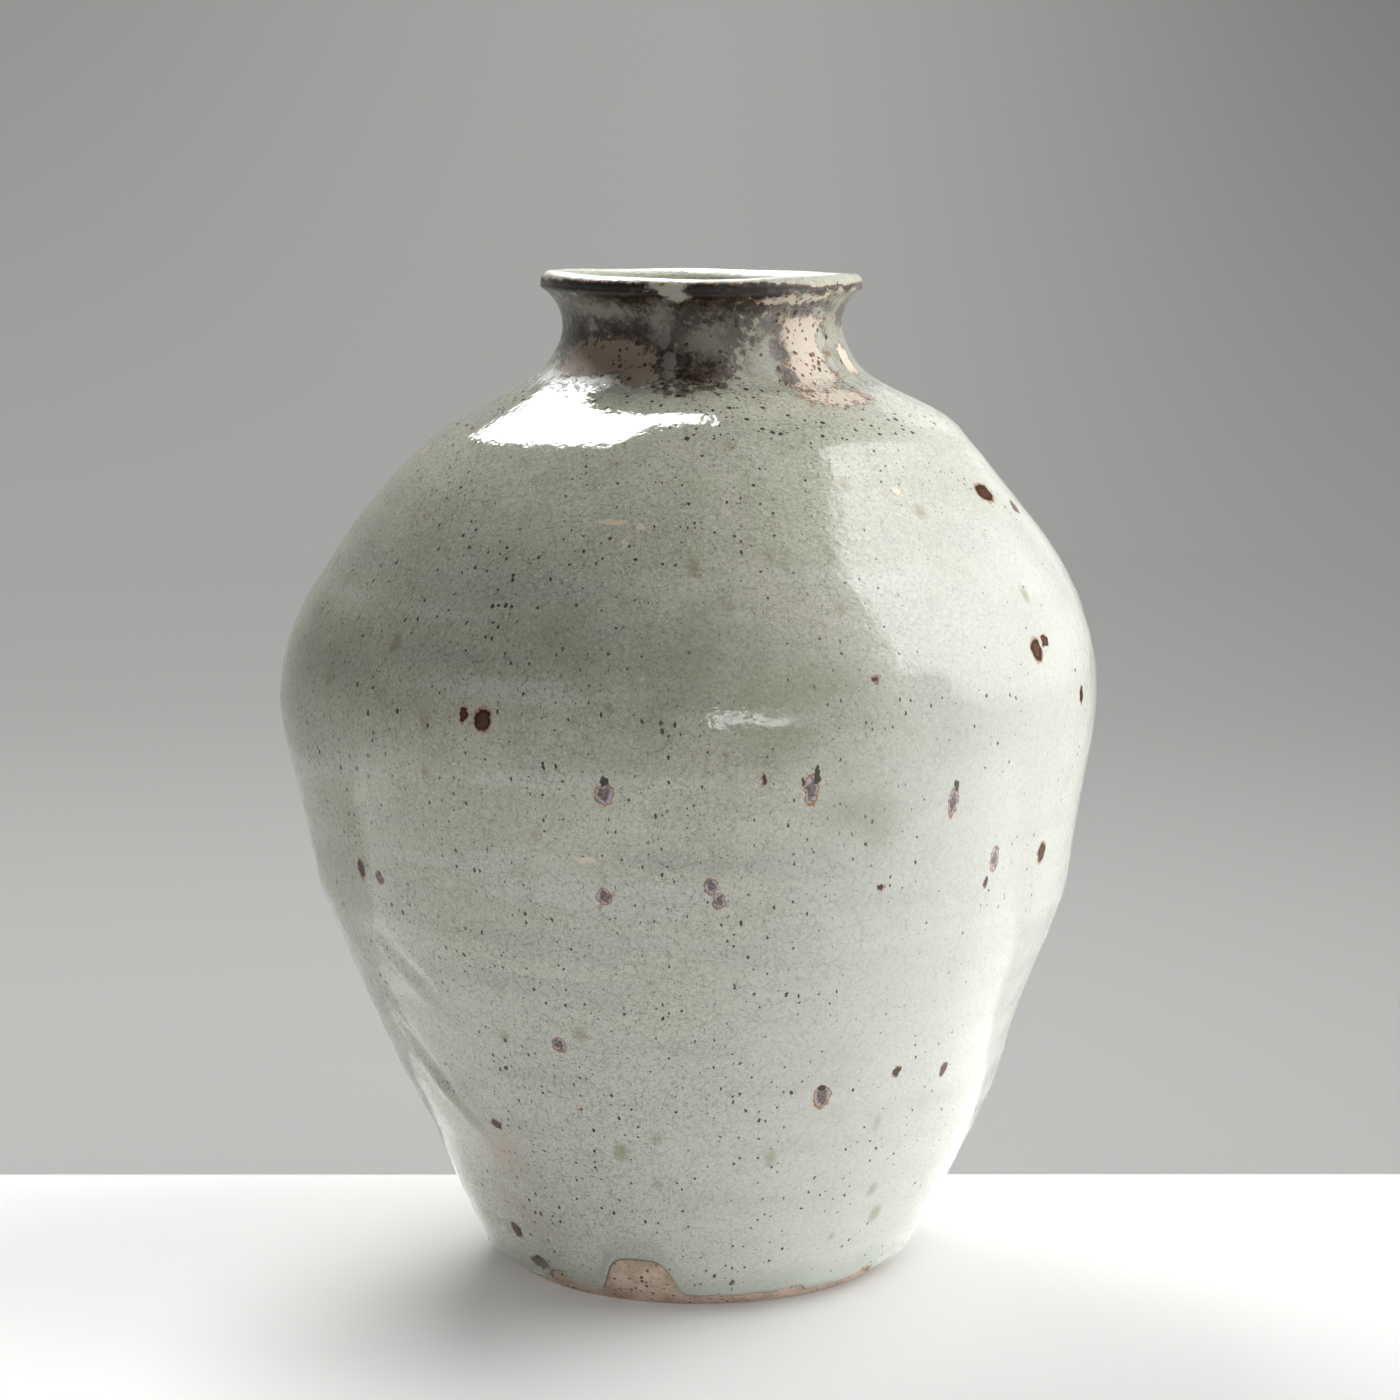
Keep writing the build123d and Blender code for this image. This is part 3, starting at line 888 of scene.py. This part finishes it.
# %% Celadon: the fields, and their shine
NECK_FIELD = 340 * MM
CRAWL_TEAR = 30 * MM  # the crawled glaze begins at about 358 mm, up to 6 mm higher or lower
CRAWL_FROM = 372 * MM
CRAWL_FULL = 374 * MM
ISLET = 0.024  # each islet between the cracks is a low roof, mm high, which tears the edges of mirrored light
FIELDS = {"celadon_glaze": front, "celadon_glaze_far_side": back, "celadon_over_iron_wash": None}
for name, marks in FIELDS.items():
    material, tree, point, cloud = new_material(name, CLOUDS if marks else CLOUDS + NECK_CLOUDS)
    body, net = glaze_ground(tree, point, cloud)
    relief = [(cloud["peel"], 0.13), (cloud["swell"], 0.18), (net, ISLET)]  # pattern, depth in mm
    shine = remap(tree, cloud["patchy"], 0.35, 0.7, 0.03, 0.075)
    if marks:
        body = kiln_marks(tree, point, body, cloud, marks)
        rim_of_glaze = add(tree, "ShaderNodeAttribute", out="Fac", attribute_name="above_edge")
        body = coats(tree, body, [
            (rim_of_glaze, 16.0, 3.0, 0.45, "989F90"),
            (rim_of_glaze, 1.6, 0.4, 0.8, "5B4433"),
        ])
    else:
        body, bare = iron_neck(tree, point, body, cloud)
        axes = add(tree, "ShaderNodeSeparateXYZ", {0: point}).node.outputs
        crawled = calc(tree, "MULTIPLY_ADD", cloud["tear"], CRAWL_TEAR, axes["Z"])
        crawled = remap(tree, crawled, CRAWL_FROM, CRAWL_FULL)
        crawled = calc(tree, "MULTIPLY", crawled, cloud["tear"])
        relief += [(bare, -0.2), (crawled, 0.5)]
        shine = calc(tree, "MULTIPLY_ADD", bare, 0.55, shine)
    rise = 0.0
    for pattern, depth in relief:
        rise = calc(tree, "MULTIPLY_ADD", pattern, depth, rise)
    ceramic(tree, body, shine, rise)
    glaze.data.materials.append(material)
    print(name, "uses", len(tree.nodes), "nodes")

centres = np.zeros(3 * len(glaze.data.polygons))
glaze.data.polygons.foreach_get("center", centres)
centres = centres.reshape(-1, 3)
field = np.where(centres[:, 2] > NECK_FIELD, 2, np.where(centres[:, 1] > 0, 1, 0))
glaze.data.polygons.foreach_set("material_index", field.astype(np.int32))
print("faces in front, behind and on the neck:", np.bincount(field))

# %% [markdown]
# ## Bare stoneware and the liner
# Where no glaze lies the fired clay is dull and rough: pinkish buff, with dark iron grains and a rusty
# tone. The liner is the same celadon, unbroken and a little darker in the shade of the jar.

# %% Stoneware and liner materials
CLAY_CLOUDS = [("tone", 9, 4, 0.55), ("sand", 1.5, 2, 0.55), ("grain", 0.9, 3, 0.7)]
stoneware, tree, point, cloud = new_material("stoneware_clay", CLAY_CLOUDS)
grit = frayed_by(tree, point, 1.2, 0.8)
earth = coats(tree, colour("D0BEAC"), [
    (cloud["tone"], 0.35, 0.68, 1.0, "B39D8A"),
    (cloud["sand"], 0.5, 0.7, 0.5, "927C6A"),
    (grains(tree, grit, 2.1, 0.75, 0.42), 0.0, 0.08, 0.9, "4C3423"),
])
ceramic(tree, earth, 0.85, cloud["grain"], 0.25 * MM)
clay.data.materials.append(stoneware)

liner_celadon, tree, point, cloud = new_material("liner_celadon", [("tone", 20, 4, 0.55)])
inner = coats(tree, colour("9C9B8B"), [(cloud["tone"], 0.35, 0.65, 1.0, "8A8A78")])
ceramic(tree, inner, 0.12)
liner.data.materials.append(liner_celadon)
print("materials:", [m.name for m in (*glaze.data.materials, stoneware, liner_celadon)])

# %% [markdown]
# ## Table and backdrop
# The jar stands near the back edge of a white table, before a sheet of grey paper. One floor carries both:
# white in front of the edge, grey behind it, so the jar stands firmly from every side. Far off the paper
# sweeps up. What the lens and the shiny glaze see of the grey is a colour of its own, not lit by the lamps,
# as soft paper far away looks; it is painted darker upwards and towards the sides as shade. For the lens the
# white table is painted darker to the right and towards the back, against the lamps' stronger light there.

# %% Stage
TABLE_BACK = 0.112
TABLE_FRONT = -0.95
TABLE_GLOW = 0.13  # a milk-white table top, lit a little from below
WALL_AT = 2.6
REACH = 9.0
corners = [(-REACH, -REACH, 0), (REACH, -REACH, 0), (REACH, WALL_AT, 0), (-REACH, WALL_AT, 0),
           (REACH, WALL_AT, REACH), (-REACH, WALL_AT, REACH)]
stage_mesh = bpy.data.meshes.new("table_and_paper")
stage_mesh.from_pydata(corners, [], [(0, 1, 2, 3), (3, 2, 4, 5)])
stage = put("table_and_paper", stage_mesh)

# %% White table and grey paper
paper, tree, point, _ = new_material("white_table_grey_paper")
axes = add(tree, "ShaderNodeSeparateXYZ", {0: point}).node.outputs
rays = add(tree, "ShaderNodeLightPath").node.outputs
behind = remap(tree, axes["Y"], TABLE_BACK - 2 * MM, TABLE_BACK + 2 * MM)
before = remap(tree, axes["Y"], TABLE_FRONT + 0.1, TABLE_FRONT - 0.1)
grey = calc(tree, "MAXIMUM", behind, before)
path = calc(tree, "ADD", axes["Y"], axes["Z"])
dim_right = remap(tree, axes["Z"], full=0.75, least=0.4, most=0.95)
dim_left = remap(tree, axes["Z"], full=0.75, most=0.5)
# the grey as the lens sees it, painted darker upwards and towards the sides as shade on the paper
seen_grey = coats(tree, colour("C2C2C0"), [
    (path, 0.1, 1.6, 1.0, "ABABA9"),
    (axes["X"], 0.0, 0.9, dim_right, "747472"),
    (axes["X"], 0.0, -0.9, dim_left, "747472"),
])
# the table as the lens sees it, painted darker to the right and towards the back to even out the lamps' light
table_seen = coats(tree, colour("EAEAE9"), [
    (axes["X"], -0.3, 0.35, 1.0, "B9B9B8"),
    (axes["Y"], -0.15, 0.1, 0.6, "C2C2C1"),
])
tint = coats(tree, colour("F0F0EE"), [
    (rays["Is Camera Ray"], 0.0, 1.0, 1.0, table_seen),
    (grey, 0.0, 1.0, 1.0, "8E8E8C"),
])
on_wall = remap(tree, axes["Z"], full=0.02)
on_left = remap(tree, axes["X"], -0.05, -0.3)
mirrored = calc(tree, "MAXIMUM", on_wall, on_left)
mirrored = calc(tree, "MULTIPLY", mirrored, rays["Is Glossy Ray"])
looked_at = calc(tree, "MAXIMUM", rays["Is Camera Ray"], mirrored)
evened = remap(tree, grey, most=0.88)
evened = calc(tree, "MULTIPLY", looked_at, evened)
glow = remap(tree, grey, least=TABLE_GLOW, most=0.0)
lit = add(tree, "ShaderNodeBsdfDiffuse", {"Color": tint})
lamp_lit = add(tree, "ShaderNodeEmission", {"Color": colour("FFFFFF"), "Strength": glow})
table = add(tree, "ShaderNodeAddShader", {0: lit, 1: lamp_lit})
even = add(tree, "ShaderNodeEmission", {"Color": seen_grey, "Strength": 1.0})
stage_look = add(tree, "ShaderNodeMixShader", {0: evened, 1: table, 2: even})
add(tree, "ShaderNodeOutputMaterial", {"Surface": stage_look})
stage_mesh.materials.append(paper)
print("table from y", TABLE_FRONT, "to", TABLE_BACK, "m; paper rises at y", WALL_AT, "m")

# %% [markdown]
# ## Light
# The shine tells where the lamps stood. Two round softboxes close on the right light that side. A flat
# softbox hangs over the backdrop to the left and draws the white patch below the neck. A small bright pane
# in front shows as a short bar. The room itself is dark: the left side is lit almost only by the white table.
# What lights and what shines are set apart: a patch of shine, followed back over the mirror of the glaze,
# gives the outline of the lit cloth it shows. The one on the right is brightest high in front. Along its
# right edge the jar mirrors the paper that the softboxes light behind it.

# %% Lamps
TARGET = Vector((0, 0, 0.24))


def softbox(name, place, aim, shape, wide, tall, radiance, shines=False):
    """A flat lamp at a place in metres, facing a point, with a given brightness of its face."""
    lamp = bpy.data.lights.new(name, "AREA")
    lamp.shape = shape
    lamp.size = wide
    lamp.size_y = tall
    face = wide * tall * (math.pi / 4 if shape == "ELLIPSE" else 1)
    lamp.energy = radiance * math.pi * face
    holder = put(name, lamp)
    holder.location = place
    away = (Vector(place) - Vector(aim)).normalized()
    holder.rotation_euler = away.to_track_quat("Z", "Y").to_euler()
    holder.visible_camera = False
    holder.visible_glossy = shines
    lamp.cycles.use_multiple_importance_sampling = shines  # else it would hide a lamp that shines
    print(name, "gives", round(lamp.energy, 1), "W")


softbox("low_softbox_right", (0.95, 0.08, 0.55), TARGET, "ELLIPSE", 1.35, 0.95, 4.4)
softbox("high_softbox_right", (0.8, 0.1, 1.35), TARGET, "ELLIPSE", 1.0, 0.9, 4.9)
softbox("top_softbox_behind", (-0.27, 0.87, 1.15), (-0.27, 0.869, 0), "RECTANGLE", 0.58, 1.1, 13.0)
softbox("front_pane", (0.48, -1.72, 0.42), TARGET, "RECTANGLE", 0.68, 0.2, 6.5, shines=True)

# %% The lit cloths of the softboxes, as the glaze mirrors them
SIDE_AT = 0.9
SIDE_CLOTH = [(-0.55, 0.95), (-0.52, 0.62), (-0.33, 0.36), (-0.1, 0.22), (1.0, 0.22), (1.0, 0.6), (0.6, 1.0),
              (0.55, 1.25), (0.3, 1.9), (-0.05, 1.9), (-0.42, 1.42)]  # y and z of its corners in m
TOP_AT = 1.15
TOP_CLOTH = [(0.03, 0.13), (-0.3, 0.13), (-0.44, 0.24), (-0.6, 0.56), (-0.8, 1.4), (0.03, 1.4)]  # x and y
GLOW_FROM = 0.15  # m along its way, where a cloth is still dim
GLOW_FULL = 1.2
LIT_PAPER_AT = 2.5
LIT_PAPER = [(0.35, 0.15), (1.4, 0.15), (1.4, 2.0), (0.35, 2.0)]  # x and z


def lit_cloth(name, corners, dim, bright, way):
    """A flat cloth that only the glaze mirrors. Its brightness grows along a way in space."""
    mesh = bpy.data.meshes.new(name)
    mesh.from_pydata(corners, [], [range(len(corners))])
    cloth = put(name, mesh)
    cloth.visible_camera = False
    cloth.visible_diffuse = False
    cloth.visible_shadow = False
    material, tree, point, _ = new_material(name)
    along_way = vector_calc(tree, "DOT_PRODUCT", point, way)
    power = remap(tree, along_way, GLOW_FROM, GLOW_FULL, dim, bright)
    shining = add(tree, "ShaderNodeEmission", {"Color": colour("FFFFFF"), "Strength": power})
    add(tree, "ShaderNodeOutputMaterial", {"Surface": shining})
    mesh.materials.append(material)
    print(name, "has", len(corners), "corners and shines from", dim, "to", bright)


lit_cloth("side_cloth", [(SIDE_AT, y, z) for y, z in SIDE_CLOTH], 0.6, 6.0, (0, -1, 0.7))
lit_cloth("top_cloth", [(x, y, TOP_AT) for x, y in TOP_CLOTH], 22.0, 22.0, (0, 0, 1))
lit_cloth("lit_paper", [(x, LIT_PAPER_AT, z) for x, z in LIT_PAPER], 0.35, 0.9, (0, 0, 1))

# %% The room
ROOM = 0.2
world = bpy.data.worlds.new("room")
bpy.context.scene.world = world
world.use_nodes = True
tree = world.node_tree
tree.nodes.clear()
dim = add(tree, "ShaderNodeBackground", {"Color": colour("FFFFFF"), "Strength": ROOM})
far = add(tree, "ShaderNodeBackground", {"Color": colour("ABABA9"), "Strength": 1.0})
by_lens = add(tree, "ShaderNodeLightPath", out="Is Camera Ray")
room = add(tree, "ShaderNodeMixShader", {0: by_lens, 1: dim, 2: far})
add(tree, "ShaderNodeOutputWorld", {"Surface": room})
bpy.context.scene.view_settings.view_transform = "Standard"
